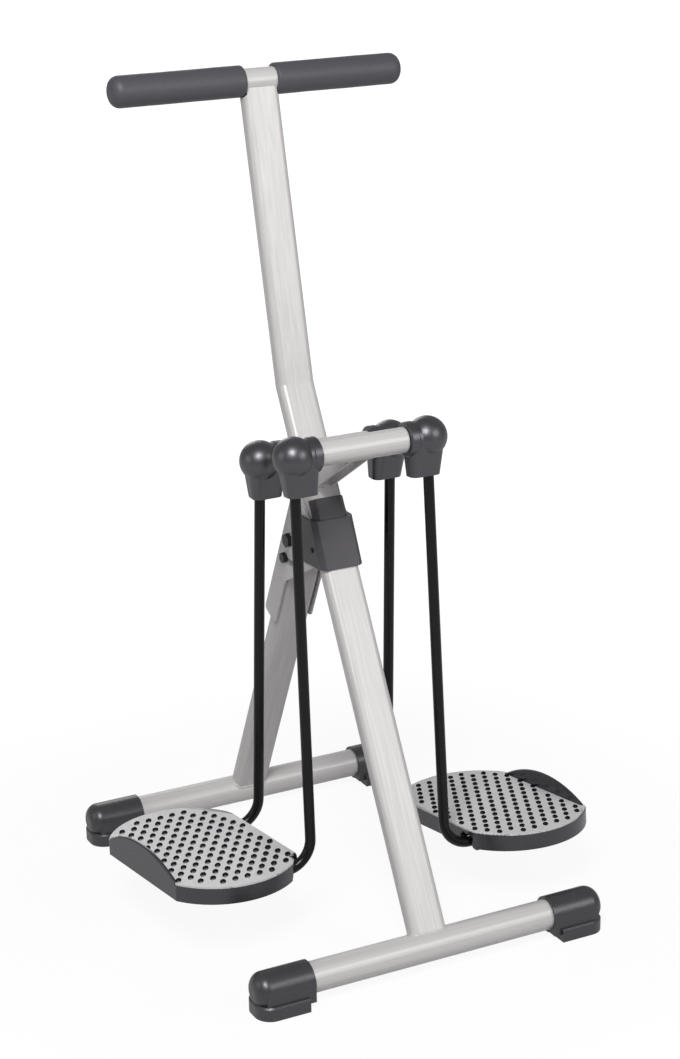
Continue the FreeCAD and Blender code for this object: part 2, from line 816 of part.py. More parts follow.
def for_side(shape, link):
    """The left toe points away from the user. The right pedal is the same moulding turned by half a turn."""
    if link.side < 0:
        return shape
    return shape.mirror(V(0, 0, 0), V(0, 1, 0))


def pedal_plate(link):
    """Grey anti-slip plate that lies on the deck, inside the guard."""
    plate = pedal_outline(plate_margin, -plate_thickness, plate_thickness)
    outer = rod_offset + pedal_inner_gap + pedal_width
    keep = guard_thickness + plate_margin
    length = toe_outer_corner + heel_outer_corner - 2 * guard_inset + 2 * plate_margin
    strip = Part.makeBox(
        keep + 10, length, 20,
        V(outer - keep, -heel_outer_corner + guard_inset - plate_margin, -10),
    )
    plate = for_side(placed_moulding(plate.cut(strip)), link)
    for pin in pedal_frame_pins():
        plate = plate.cut(bend_room(pin, link))
    return plate


def lug_bush():
    near = pedal_frame_pins()[0]
    inner = rod_diameter / 2 + running_clearance
    outer = rod_diameter / 2 + lug_bush_wall - 0.01
    sleeve = ring(near, outer, inner, lug_inner, lug_outer)
    collar = ring(near, outer + bush_flange_width, inner, lug_outer, lug_outer + bush_flange_thickness - 0.1)
    return sleeve.fuse(collar).removeSplitter()


def laid(shape, link):
    """Pedal piece from the frame of its pins to its place."""
    placed = shape.copy()
    placed.translate(V(0, 0, pin_below_top))
    placed.rotate(V(0, 0, 0), V(1, 0, 0), link.tilt)
    placed.translate(link.pin_middle)
    return placed


# Folding leg and its bracket

def on_near_leg(along, back):
    point = near_base + leg_direction * along + leg_back * back
    return (point.y, point.z)


def on_far_leg(along, back):
    point = far_base + far_leg_direction * along + far_leg_back * back
    return (point.y, point.z)


def back_meeting(back):
    """Where a line along the far leg meets the back of the near leg, as a length along the far leg."""
    start = far_base + far_leg_back * back
    wall = near_base + leg_back * oval_half
    gap = wall - start
    cross = far_leg_direction.y * leg_direction.z - far_leg_direction.z * leg_direction.y
    return (gap.y * leg_direction.z - gap.z * leg_direction.y) / cross


def bracket_outline(back, ahead):
    """Side view of the bracket, to this far behind the far leg's axis, and grown ahead and below."""
    return [
        on_near_leg(bracket_top, -oval_half + bracket_front_inset),
        on_near_leg(bracket_front_low, -oval_half + bracket_front_inset),
        on_far_leg(bracket_throat, -oval_half - ahead),
        on_far_leg(bracket_foot - ahead, -oval_half - ahead),
        on_far_leg(bracket_foot - ahead, back),
        on_far_leg(back_meeting(back), back),
    ]


def slot(radius, width):
    """Curved slot in both cheeks for the guide bolt, round the pivot."""
    outer = across(pivot, radius + width / 2, -past_side, past_side)
    inner = across(pivot, radius - width / 2, -past_side - 1, past_side + 1)
    band = outer.cut(inner)
    start = math.atan2(-far_leg_direction.z, -far_leg_direction.y)
    finish = start - math.radians(fold_angle)
    reach = radius + width
    middle = (start + finish) / 2

    def towards(turn, length):
        return (pivot.y + math.cos(turn) * length, pivot.z + math.sin(turn) * length)
    center = (pivot.y, pivot.z)
    corners = [center, towards(start, reach), towards(middle, reach * 1.3), towards(finish, reach)]
    wedge = side_plate(corners, -past_side, past_side)
    ends = []
    for turn in (start, finish):
        point = towards(turn, radius)
        ends.append(across(V(0, point[0], point[1]), width / 2, -past_side, past_side))
    return band.common(wedge).fuse(ends)


def folding_bracket():
    outside = side_plate(bracket_outline(web_back, 0), -cheek_outer, cheek_outer)
    corners = [edge for edge in outside.Edges if is_crosswise(edge)]
    lower = [edge for edge in corners if edge.CenterOfMass.z < pivot.z - oval_half]
    outside = outside.makeFillet(bracket_corner, lower)
    inside = side_plate(bracket_outline(web_front, bracket_corner * 2), -cheek_inner, cheek_inner)
    room_corners = [
        on_near_leg(bracket_top + 2 * past_side, -oval_half - past_side),
        on_near_leg(bracket_top + 2 * past_side, oval_half),
        on_near_leg(bracket_front_low - past_side, oval_half),
        on_near_leg(bracket_front_low - past_side, -oval_half - past_side),
    ]
    leg_room = side_plate(room_corners, -cheek_inner, cheek_inner)
    body = outside.cut([inside, leg_room])
    pads = []
    for along in (bracket_front_low + weld_pad_diameter, bracket_top - weld_pad_diameter):
        spot = on_near_leg(along, 0)
        center = V(0, spot[0], spot[1])
        pads.append(across(center, weld_pad_diameter / 2, oval_width / 2, cheek_inner + 1))
        pads.append(across(center, weld_pad_diameter / 2, -cheek_inner - 1, -oval_width / 2))
    body = body.fuse(pads).removeSplitter()
    body = body.cut(across(pivot, pivot_bolt_diameter / 2 + 0.05, -past_side, past_side))
    body = body.cut(cylinder(stop_point(), far_leg_back, stop_bolt_diameter / 2, past_side))
    return body.cut(slot(guide_radius, guide_bolt_diameter + 2 * guide_slot_clearance))


def far_leg():
    length = pivot_along + far_leg_head
    tube = oval_tube(far_base, far_leg_direction, far_leg_back, length)
    top = far_base + far_leg_direction * length
    tube = tube.cut(base_cutter(far_base))
    sleeve_radius = pivot_bolt_diameter / 2 + 0.1 + pivot_sleeve_wall
    tube = tube.cut(across(pivot, sleeve_radius, -past_side, past_side))
    tube = tube.cut(across(guide, guide_bolt_diameter / 2 + 0.05, -past_side, past_side))
    nose = across(top - far_leg_direction * oval_half, oval_half + 0.2, -past_side, past_side)
    shoulder_corners = [
        on_far_leg(length - oval_half, -oval_depth),
        on_far_leg(length + 1, -oval_depth),
        on_far_leg(length + 1, oval_depth),
        on_far_leg(length - oval_half, oval_depth),
    ]
    shoulder = side_plate(shoulder_corners, -past_side, past_side)
    return tube.cut(shoulder.cut(nose))


def stop_point():
    return far_base + far_leg_direction * (pivot_along - stop_bolt_drop)


def stop_bolt():
    """Hexagon screw through the back web: the far leg rests on its tip."""
    tip = stop_point() + far_leg_back * (oval_half + 0.3)
    shank_length = web_back - oval_half - 0.3 + 0.5
    shank = cylinder(tip, far_leg_back, stop_bolt_diameter / 2, shank_length)
    head_base = stop_point() + far_leg_back * web_back
    corners = []
    radius = stop_head_width / math.sqrt(3)
    for index in range(6):
        turn = math.radians(60 * index)
        spoke = V(1, 0, 0) * math.cos(turn) + far_leg_direction * math.sin(turn)
        corners.append(head_base + spoke * radius)
    head = Part.Face(wire_of(corners)).extrude(far_leg_back * stop_head_height)
    return shank.fuse(head).removeSplitter()


def pivot_sleeve():
    inner = pivot_bolt_diameter / 2 + 0.1
    half = cheek_inner - 0.15
    return ring(pivot, inner + pivot_sleeve_wall - 0.01, inner, -half, half)


def bolt(center, diameter, head_width, head_height, reach):
    """Hexagon bolt along X with its head on the -X side of the bracket."""
    shank = across(center, diameter / 2, -reach, reach + washer_thickness + head_height + 2)
    head = hexagon(center, head_width, -reach - head_height, -reach)
    crown = across(center, head_width * 0.62, -reach - head_height, -reach - head_height * 0.55)
    body = across(center, head_width, -reach - head_height * 0.55, -reach)
    head = head.common(crown.fuse(body))
    return head.fuse(shank).removeSplitter()


def bolt_nut(center, diameter, head_width, head_height, reach):
    washer = ring(center, head_width * 0.65, diameter / 2, reach, reach + washer_thickness)
    start = reach + washer_thickness
    nut = hexagon(center, head_width, start, start + head_height)
    nut = nut.cut(across(center, diameter / 2, start - 1, start + head_height + 1))
    return washer.fuse(nut).removeSplitter()


def cover_front(along, stand):
    return on_near_leg(along, -oval_half - stand)


def cover_side_back(along, lift):
    """Rear corner of the lower tier's sides, level with its front corner at this station."""
    return (pivot.y - cover_side_reach, cover_front(along, cover_step_stand)[1] + lift)


def lower_tier(half):
    """Wide tier of the cover: its sides run back level from its sloped front."""
    points = [
        cover_front(cover_foot, cover_foot_stand),
        cover_front(cover_step, cover_step_stand),
        cover_side_back(cover_step, 0),
        cover_side_back(cover_foot, -cover_side_drop),
    ]
    return side_plate(points, -half, half)


def hinge_cover():
    """Stepped plastic cover: a wide tier round the cheeks and a narrower one above it on the leg's front."""
    outer = cheek_outer + cover_gap + cover_wall
    inner = cheek_outer + cover_gap
    lower = lower_tier(outer)
    lower = chamfer_front(lower, outer, cover_foot_stand + oval_half, cover_step_stand + oval_half)
    upper_half = cover_upper_width / 2
    points = [
        cover_front(cover_step - cover_lap, -oval_corner),
        cover_front(cover_step - cover_lap, cover_upper_stand),
        cover_front(cover_top, cover_upper_stand),
        cover_front(cover_top, -oval_corner),
    ]
    upper = side_plate(points, -upper_half, upper_half)
    upper = chamfer_front(upper, upper_half, cover_upper_stand + oval_half, cover_upper_stand + oval_half)
    body = lower.fuse(upper).removeSplitter()
    # The inside: room for the leg and for the cheeks, under a roof at the step.
    leg_room = oval_solid(near_base, leg_direction, leg_back, cover_top + past_side, cover_gap)
    body = body.cut([leg_room, cheek_room(inner), back_room(inner)])
    spot = cover_screw_point()
    return body.cut(across(spot, cover_screw_diameter / 2 + 0.1, -past_side, past_side))


def cheek_room(inner):
    """Room for both cheeks of the bracket: they stand up through the roof of the lower tier."""
    front = -oval_half + bracket_front_inset - cover_gap
    outline = bracket_outline(web_back, 0)
    lift = 3 * cover_gap
    front_top = outline[0]
    back_top = outline[-1]
    corners = [
        (front_top[0] - cover_gap, front_top[1] + lift),
        on_near_leg(cover_foot - cheek_room_reach, front),
        on_near_leg(cover_foot - cheek_room_reach, cheek_room_reach),
        (back_top[0] + past_side, back_top[1] + lift + past_side),
        (back_top[0], back_top[1] + lift),
    ]
    return side_plate(corners, -inner, inner)


def back_room(inner):
    """Room behind the near leg, open to the rear."""
    front = oval_half - cover_roof_inset
    corners = [
        on_near_leg(cover_foot - 2 * past_side, front),
        on_near_leg(cover_top, front),
        on_near_leg(cover_top, oval_half + past_side),
        on_near_leg(cover_foot - 2 * past_side, oval_half + past_side),
    ]
    return side_plate(corners, -inner, inner)


def chamfer_front(shape, half, low_offset, high_offset):
    edges = []
    for edge in shape.Edges:
        point = edge.CenterOfMass
        offset = (near_base - point).dot(leg_back)
        low = min(low_offset, high_offset) - 0.5
        high = max(low_offset, high_offset) + 0.5
        long_enough = edge.Length > 12 and edge.BoundBox.XLength < 0.01
        if long_enough and low < offset < high and abs(abs(point.x) - half) < 0.2:
            edges.append(edge)
    return shape.makeChamfer(cover_chamfer, edges)


def cover_screw_point():
    spot = on_near_leg((cover_foot + cover_step) / 2, oval_half * 0.2)
    return V(0, spot[0], spot[1])


def cover_screws():
    """One pan-head screw on each side, through the cover into a cheek."""
    start = oval_width / 2 + 0.1
    skin = cheek_outer + cover_gap + cover_wall
    spot = cover_screw_point()
    shank = across(spot, cover_screw_diameter / 2, start, skin)
    head = across(spot, cover_screw_head / 2, skin, skin + 2.2)
    head = head.makeChamfer(0.8, [edge for edge in head.Edges if edge.CenterOfMass.x > skin + 2.1])
    screw = shank.fuse(head).removeSplitter()
    return Part.makeCompound([screw, mirrored(screw)])


def build():
    os.makedirs("parts", exist_ok=True)
    export(base_tube(near_base), "base_tube_near")
    export(base_tube(far_base), "base_tube_far")
    for name, center in (("near", near_base), ("far", far_base)):
        cap = base_cap(center)
        export(cap, "end_cap_" + name + "_right")
        export(mirrored(cap), "end_cap_" + name + "_left")
    export(near_leg(), "leg_near")
    export(mast(), "mast")
    export(handle_tube(), "handlebar_tube")
    export(grip(), "grip_right")
    export(mirrored(grip()), "grip_left")
    export(handle_plugs(), "handlebar_plugs")
    export(crossbar(near_bar), "crossbar_near")
    export(crossbar(far_bar), "crossbar_far")
    export(yoke(), "crossbar_yoke")
    export(both_sides(stub_axle), "stub_axles")
    export(both_sides(axle_spacer), "axle_spacers")
    export(both_sides(axle_nut), "axle_nuts")
    screw_hole = cover_screw_point()
    bracket = folding_bracket().cut(across(screw_hole, cover_screw_diameter / 2, -past_side, past_side))
    export(bracket, "folding_bracket")
    export(hinge_cover(), "hinge_cover")
    export(cover_screws(), "cover_screws")
    pivot_sizes = (pivot_bolt_diameter, pivot_head_width, pivot_head_height, cheek_outer)
    guide_sizes = (guide_bolt_diameter, guide_head_width, guide_head_height, cheek_outer + 0.3)
    export(bolt(pivot, *pivot_sizes), "pivot_bolt")
    export(bolt_nut(pivot, *pivot_sizes), "pivot_nut")
    export(far_leg(), "leg_far")
    export(pivot_sleeve(), "pivot_sleeve")
    export(stop_bolt(), "stop_bolt")
    export(bolt(guide, *guide_sizes), "guide_bolt")
    export(bolt_nut(guide, *guide_sizes), "guide_nut")
    for link, word in ((right, "right"), (left, "left")):
        rods = (
            ("near_", near_bar, link.near_down, link.near_length, link.near_pin),
            ("far_", far_bar, link.far_down, link.far_length, link.far_pin),
        )
        for name, bar, down, length, pin in rods:
            export(on_side(rod(bar, down, length), link.side), "rod_" + name + word)
            export(on_side(hub_bush(bar), link.side), "hub_bush_" + name + word)
            export(on_side(knuckle_cover(bar, down), link.side), "knuckle_" + name + word)
            export(on_side(pin_nut(pin), link.side), "pin_nut_" + name + word)
        export(on_side(laid(pedal_tray(link), link), link.side), "pedal_tray_" + word)
        export(on_side(laid(pedal_plate(link), link), link.side), "pedal_plate_" + word)
        export(on_side(laid(lug_bush(), link), link.side), "lug_bush_" + word)
        print(word, "near pin", link.near_pin, "far pin", link.far_pin)
    print("pivot", pivot, "guide", guide)


build()
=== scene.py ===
import json
import math

import bpy
from bpy.props import FloatProperty, FloatVectorProperty, IntProperty, PointerProperty
from mathutils import Matrix, Vector


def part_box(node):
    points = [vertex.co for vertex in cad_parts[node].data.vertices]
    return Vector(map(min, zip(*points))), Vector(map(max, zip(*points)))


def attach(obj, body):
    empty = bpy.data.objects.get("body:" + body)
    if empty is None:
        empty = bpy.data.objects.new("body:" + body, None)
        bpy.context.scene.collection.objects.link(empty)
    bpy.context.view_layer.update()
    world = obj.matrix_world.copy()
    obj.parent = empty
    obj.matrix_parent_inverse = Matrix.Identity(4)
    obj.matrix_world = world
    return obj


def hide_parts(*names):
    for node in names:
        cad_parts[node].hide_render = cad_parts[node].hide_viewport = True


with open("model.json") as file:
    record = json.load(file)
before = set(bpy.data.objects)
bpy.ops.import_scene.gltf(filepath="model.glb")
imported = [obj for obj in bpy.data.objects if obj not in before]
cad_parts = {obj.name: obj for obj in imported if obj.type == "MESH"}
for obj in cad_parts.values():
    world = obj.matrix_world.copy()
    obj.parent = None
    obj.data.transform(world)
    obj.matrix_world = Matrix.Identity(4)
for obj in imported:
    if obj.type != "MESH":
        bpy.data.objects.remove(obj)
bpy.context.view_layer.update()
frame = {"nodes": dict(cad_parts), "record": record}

bl_info = {
    "name": "Folding air walker finish",
    "version": (1, 0, 0),
    "blender": (4, 5, 0),
    "location": "3D View > Sidebar > Air walker",
    "description": "Paint, foam, plates, welds and studio for the packed air walker",
    "category": "Object",
}


# Fixed values, with lengths in metres

POINT_SIZE = 0.001            # side of the plane that is merged to a first point
MERGE_GAP = 0.00001           # points of a new piece that are nearer than this are one
NODE_MERGE_GAP = 0.00002      # the same for the loose triangles of a CAD node
END_SHARE = 20                # one in so many of a tube's points counts as its end
FEWEST_END_POINTS = 8

BORE_GAP = 0.0002             # room between the handlebar and the foam
GRIP_RINGS = 26               # steps along the straight part of a grip
LIP_STEPS = 4                 # steps round the lip of its open end
END_STEPS = 8                 # steps round the turn of its closed end
END_RING = 0.005              # radius of the ring on the flat of its closed end
DENT_SIZE = 0.05              # width of the foam's slow dents

PIN_SIDES = 14
PIN_LENGTH = 0.03
PINS_EACH_WAY = 16            # steps of the lattice that are tried each way from a plate's middle
RIM_MARGIN = 0.0015           # plain rim round the holes of a plate
WALL_MARGIN = 0.0010          # a steep face further in than this is the wall of a hole
STEEP = 0.5                   # a face is steep where its normal rises less than this
FEWEST_CUT_FACES = 500        # a plate with fewer faces than this has no holes

SEAT_GAP = 0.0003             # how far a seated point may be off the tube that carries it
SEAT_FACING = 0.7             # how squarely a seated face looks at that tube
BEAD_ROUNDNESS = 3            # Blender's bevel resolution of a weld bead
RIPPLE_SIZE = 0.004           # width of a bead's ripples

FLOOR_SIZE = 30.0
FLOOR_DROP = 0.0005           # the floor lies this far under the pads
SENSOR_HEIGHT = 24.0          # in millimetres, as Blender's camera wants it
CAMERA_REACH = 100.0
LIGHTS_AIM = (0.0, 0.0, 0.5)  # all lights look here, near the middle of the object

# The place of each light and the width of its disk

LIGHTS = {
    "key": ((-1.5, -2.2, 3.2), 1.3),
    "front": ((1.5, -2.7, 1.9), 1.6),
    "fill": ((-3.0, 0.4, 1.4), 1.6),
    "back": ((0.7, 3.2, 1.6), 1.6),
}

# Which tube's streaks a silver node has: the rest have those of the cross tubes

SILVER_RUNS = {
    "mast": "mast",
    "leg_near": "near leg",
    "crossbar_yoke": "near leg",
    "folding_bracket": "near leg",
    "leg_far": "far leg",
}


# Sizes and colours that a user may change

class GripSizes(bpy.types.PropertyGroup):
    radius: FloatProperty(
        name="Radius", description="Outer radius of the foam", default=0.0208, unit="LENGTH")
    end_turn: FloatProperty(
        name="End turn", description="Radius of the closed end", default=0.013, unit="LENGTH")
    lip: FloatProperty(
        name="Lip", description="Rounding of the open end", default=0.003, unit="LENGTH")
    sides: IntProperty(name="Sides", description="Facets round the grip", default=72)
    unevenness: FloatProperty(
        name="Unevenness", description="Depth of the foam's slow dents", default=0.0006, unit="LENGTH")


class PlateSizes(bpy.types.PropertyGroup):
    hole_share: FloatProperty(
        name="Hole share", description="Width of a hole as a share of its cell", default=0.47,
        subtype="FACTOR")
    left_stretch: FloatProperty(
        name="Left stretch", description="Length over width of the left plate's holes", default=1.9,
        subtype="FACTOR")
    right_stretch: FloatProperty(
        name="Right stretch", description="Length over width of the right plate's holes", default=1.85,
        subtype="FACTOR")
    hole_turn: FloatProperty(
        name="Hole turn", description="Turn of a hole's long side from fore and aft", default=-0.5,
        subtype="ANGLE")
    left_across: FloatVectorProperty(
        name="Left across", description="First step between the holes of the left plate", size=2,
        default=(0.0172, 0.0001), unit="LENGTH")
    left_along: FloatVectorProperty(
        name="Left along", description="Second step between the holes of the left plate", size=2,
        default=(0.0103, 0.0157), unit="LENGTH")
    right_across: FloatVectorProperty(
        name="Right across", description="First step between the holes of the right plate", size=2,
        default=(0.0176, 0.0006), unit="LENGTH")
    right_along: FloatVectorProperty(
        name="Right along", description="Second step between the holes of the right plate", size=2,
        default=(0.0066, 0.0143), unit="LENGTH")


class WeldSizes(bpy.types.PropertyGroup):
    bead: FloatProperty(
        name="Bead", description="Radius of a weld bead", default=0.0017, unit="LENGTH")
    ripple: FloatProperty(
        name="Ripple", description="Height of the bead's ripples", default=0.0005, unit="LENGTH")


class FinishColours(bpy.types.PropertyGroup):
    silver: FloatVectorProperty(
        name="Silver paint", description="Paint of the tubes", subtype="COLOR", size=3, min=0, max=1,
        default=(0.640, 0.620, 0.618))
    black_paint: FloatVectorProperty(
        name="Black paint", description="Paint of the rods", subtype="COLOR", size=3, min=0, max=1,
        default=(0.004, 0.004, 0.0045))
    plastic: FloatVectorProperty(
        name="Black plastic", description="Pedal trays and plugs", subtype="COLOR", size=3, min=0, max=1,
        default=(0.014, 0.0135, 0.0165))
    knuckle: FloatVectorProperty(
        name="Knuckle plastic", description="Knuckle covers on the crossbars", subtype="COLOR",
        size=3, min=0, max=1, default=(0.008, 0.0075, 0.010))
    cover: FloatVectorProperty(
        name="Cover plastic", description="Stepped cover of the folding joint", subtype="COLOR",
        size=3, min=0, max=1, default=(0.072, 0.069, 0.073))
    rubber: FloatVectorProperty(
        name="Rubber", description="Caps on the base tubes", subtype="COLOR", size=3, min=0, max=1,
        default=(0.028, 0.027, 0.032))
    foam: FloatVectorProperty(
        name="Foam", description="Handlebar grips", subtype="COLOR", size=3, min=0, max=1,
        default=(0.068, 0.066, 0.078))
    plate: FloatVectorProperty(
        name="Plate", description="Anti-slip plates", subtype="COLOR", size=3, min=0, max=1,
        default=(0.65, 0.65, 0.66))
    steel: FloatVectorProperty(
        name="Steel", description="Plated axles, nuts and sleeve", subtype="COLOR", size=3, min=0, max=1,
        default=(0.55, 0.55, 0.54))
    oxide: FloatVectorProperty(
        name="Black oxide", description="Bolts, nuts and screws", subtype="COLOR", size=3, min=0, max=1,
        default=(0.022, 0.022, 0.024))
    bush: FloatVectorProperty(
        name="Bushes", description="Plain bushes and axle spacers", subtype="COLOR", size=3, min=0, max=1,
        default=(0.66, 0.64, 0.56))


class StageSizes(bpy.types.PropertyGroup):
    camera_place: FloatVectorProperty(
        name="Camera place", description="Where the camera stands", size=3,
        default=(-1.3114, -2.6401, 1.505), unit="LENGTH")
    camera_yaw: FloatProperty(
        name="Yaw", description="Turn of the camera from straight ahead", default=math.radians(26.78),
        subtype="ANGLE")
    camera_pitch: FloatProperty(
        name="Pitch", description="Angle that the camera looks down", default=math.radians(18.67),
        subtype="ANGLE")
    camera_roll: FloatProperty(
        name="Roll", description="Roll of the camera", default=math.radians(1.01), subtype="ANGLE")
    lens: FloatProperty(
        name="Lens", description="Focal length in mm on a 24 mm high sensor", default=53.968, unit="CAMERA")
    key_power: FloatProperty(
        name="Key power", description="Power of the main light in watts", default=105.0, unit="POWER")
    front_power: FloatProperty(
        name="Front power", description="Power of the front right light in watts", default=28.0,
        unit="POWER")
    fill_power: FloatProperty(
        name="Fill power", description="Power of the fill light in watts", default=9.0, unit="POWER")
    back_power: FloatProperty(
        name="Back power", description="Power of the light behind in watts", default=16.0, unit="POWER")
    ambient: FloatProperty(
        name="Ambient", description="Light of the surroundings", default=0.10, subtype="FACTOR")
    mirrored_white: FloatProperty(
        name="Mirrored white", description="Share of the white surroundings that gloss mirrors",
        default=0.30, subtype="FACTOR")
    floor_grey: FloatProperty(
        name="Floor grey", description="Grey of the floor where light meets it", default=0.50,
        subtype="FACTOR")
    floor_glow: FloatProperty(
        name="Floor glow", description="Strength of the even light that the floor shows", default=1.10)
    mirrored_floor: FloatProperty(
        name="Mirrored floor", description="Share of the floor's even light that gloss mirrors",
        default=0.5, subtype="FACTOR")
    even_share: FloatProperty(
        name="Even share", description="Share of even light near the object, where its shadow shows",
        default=0.84, subtype="FACTOR")
    shadow_start: FloatProperty(
        name="Shadow start", description="Distance at which the shadow begins to fade", default=0.5,
        unit="LENGTH")
    shadow_reach: FloatProperty(
        name="Shadow reach", description="Distance over which the floor turns to plain white",
        default=1.6, unit="LENGTH")


# Helpers for materials

class Wiring:
    """The node tree of a material or world, with short ways to add and join its nodes."""

    def __init__(self, holder):
        holder.use_nodes = True
        self.nodes = holder.node_tree.nodes
        self.links = holder.node_tree.links

    def join(self, output, socket):
        self.links.new(output, socket)

    def spread(self, value, low, high, start=0.0, finish=1.0):
        """The value, moved from the range of start to finish into that of low to high."""
        node = self.nodes.new("ShaderNodeMapRange")
        node.inputs["From Min"].default_value = start
        node.inputs["From Max"].default_value = finish
        node.inputs["To Min"].default_value = low
        node.inputs["To Max"].default_value = high
        self.join(value, node.inputs["Value"])
        return node.outputs["Result"]

    def calculate(self, operation, first, second):
        """Math on an output and on another output or a number."""
        node = self.nodes.new("ShaderNodeMath")
        node.operation = operation
        self.join(first, node.inputs[0])
        if isinstance(second, float):
            node.inputs[1].default_value = second
        else:
            self.join(second, node.inputs[1])
        return node.outputs["Value"]

    def shown(self, mirrored_share):
        """1 for the camera, this share for what gloss mirrors and 0 for all other light."""
        path = self.nodes.new("ShaderNodeLightPath")
        mirrored = self.calculate("MULTIPLY", path.outputs["Is Glossy Ray"], mirrored_share)
        return self.calculate("MAXIMUM", path.outputs["Is Camera Ray"], mirrored)


class Recipe(Wiring):
    """A material for the object, whose patterns follow Object coordinates."""

    def __init__(self, name):
        self.material = bpy.data.materials.new(name)
        super().__init__(self.material)
        self.shader = self.nodes["Principled BSDF"]
        self.place = self.nodes.new("ShaderNodeTexCoord").outputs["Object"]
        self.relief_below = None

    def noise(self, scale, detail=3.0, roughness=0.5, stretch=None):
        node = self.nodes.new("ShaderNodeTexNoise")
        node.inputs["Scale"].default_value = scale
        node.inputs["Detail"].default_value = detail
        node.inputs["Roughness"].default_value = roughness
        if stretch is None:
            self.join(self.place, node.inputs["Vector"])
        else:
            mapping = self.nodes.new("ShaderNodeMapping")
            mapping.inputs["Scale"].default_value = stretch
            self.join(self.place, mapping.inputs["Vector"])
            self.join(mapping.outputs["Vector"], node.inputs["Vector"])
        return node.outputs["Fac"]

    def streaks(self, along, fineness, length):
        """Noise drawn out along a direction, as drawing and polishing leave it on a tube."""
        mapping = self.nodes.new("ShaderNodeMapping")
        mapping.vector_type = "TEXTURE"
        mapping.inputs["Rotation"].default_value = Vector(along).to_track_quat("Z", "Y").to_euler()
        mapping.inputs["Scale"].default_value = (1.0 / fineness, 1.0 / fineness, length)
        node = self.nodes.new("ShaderNodeTexNoise")
        node.inputs["Scale"].default_value = 1.0
        node.inputs["Detail"].default_value = 4.0
        self.join(self.place, mapping.inputs["Vector"])
        self.join(mapping.outputs["Vector"], node.inputs["Vector"])
        return node.outputs["Fac"]

    def cells(self, scale):
        node = self.nodes.new("ShaderNodeTexVoronoi")
        node.inputs["Scale"].default_value = scale
        self.join(self.place, node.inputs["Vector"])
        return node.outputs["Distance"]

    def tint(self, pattern, colour, darkest, lightest, low=0.3, high=0.7):
        """The colour times darkest where the pattern is low and times lightest where it is high."""
        node = self.nodes.new("ShaderNodeValToRGB")
        stops = ((low, darkest), (high, lightest))
        for element, (position, share) in zip(node.color_ramp.elements, stops):
            element.position = position
            element.color = [min(1.0, value * share) for value in colour] + [1.0]
        self.join(pattern, node.inputs["Fac"])
        self.join(node.outputs["Color"], self.shader.inputs["Base Color"])

    def roughen(self, pattern, smoothest, roughest):
        self.join(self.spread(pattern, smoothest, roughest), self.shader.inputs["Roughness"])

    def relief(self, pattern, strength, height):
        """Adds a layer of fine relief over the layers so far."""
        node = self.nodes.new("ShaderNodeBump")
        node.inputs["Strength"].default_value = strength
        node.inputs["Distance"].default_value = height
        self.join(pattern, node.inputs["Height"])
        if self.relief_below is not None:
            self.join(self.relief_below, node.inputs["Normal"])
        self.relief_below = node.outputs["Normal"]
        self.join(self.relief_below, self.shader.inputs["Normal"])

    def plain(self, **values):
        """Sets sockets of the shader that are the same all over."""
        for name, value in values.items():
            self.shader.inputs[name.replace("_", " ")].default_value = value


def silver_paint(name, colour, along):
    """Silver paint over a drawn tube: faint streaks run along it."""
    recipe = Recipe(name)
    tone = recipe.streaks(along, fineness=340.0, length=0.35)
    recipe.tint(tone, colour, darkest=0.93, lightest=1.04, low=0.35, high=0.65)
    recipe.plain(Metallic=0.14, Specular_IOR_Level=0.3)
    recipe.roughen(recipe.streaks(along, fineness=900.0, length=0.12), 0.33, 0.45)
    recipe.relief(recipe.streaks(along, fineness=1500.0, length=0.2), strength=0.10, height=0.0002)
    recipe.relief(recipe.noise(620.0, detail=2.0), strength=0.06, height=0.0003)
    return recipe.material


def rod_paint(colour):
    recipe = Recipe("black gloss paint")
    recipe.tint(recipe.noise(20.0), colour, darkest=0.8, lightest=1.3)
    recipe.plain(Specular_IOR_Level=0.26)
    recipe.roughen(recipe.noise(240.0, detail=2.0), 0.20, 0.28)
    recipe.relief(recipe.noise(520.0, detail=2.0), strength=0.12, height=0.0004)
    return recipe.material


def moulded_plastic(name, colour, roughness, grain, shine, index=1.5):
    """Plastic from an eroded mould: fine cells with a coarser unevenness over them."""
    recipe = Recipe(name)
    recipe.tint(recipe.noise(35.0, detail=4.0), colour, darkest=0.92, lightest=1.08)
    recipe.plain(Specular_IOR_Level=shine, IOR=index, Specular_Tint=(0.95, 0.93, 1.0, 1.0))
    recipe.roughen(recipe.noise(90.0), roughness - 0.05, roughness + 0.06)
    recipe.relief(recipe.cells(grain), strength=0.16, height=0.0002)
    recipe.relief(recipe.noise(grain * 0.35), strength=0.10, height=0.0003)
    return recipe.material


def cap_rubber(colour):
    recipe = Recipe("cap rubber")
    recipe.tint(recipe.noise(90.0, detail=5.0, roughness=0.6), colour, darkest=0.90, lightest=1.14)
    recipe.roughen(recipe.noise(70.0, detail=4.0), 0.32, 0.40)
    recipe.plain(Specular_IOR_Level=0.8)
    recipe.relief(recipe.noise(700.0, roughness=0.6), strength=0.14, height=0.0003)
    return recipe.material


def grip_foam(colour):
    recipe = Recipe("grip foam")
    recipe.tint(recipe.noise(900.0, roughness=0.6), colour, darkest=0.84, lightest=1.16)
    recipe.roughen(recipe.noise(60.0), 0.48, 0.56)
    recipe.plain(Specular_IOR_Level=0.6)
    recipe.relief(recipe.cells(1800.0), strength=0.20, height=0.0003)
    recipe.relief(recipe.noise(700.0), strength=0.12, height=0.0003)
    return recipe.material


def plate_plastic(colour):
    recipe = Recipe("plate grey")
    recipe.tint(recipe.noise(120.0, detail=4.0, roughness=0.6), colour, darkest=0.93, lightest=1.05)
    recipe.roughen(recipe.noise(80.0), 0.42, 0.56)
    recipe.relief(recipe.noise(1400.0, detail=2.0), strength=0.18, height=0.0002)
    return recipe.material


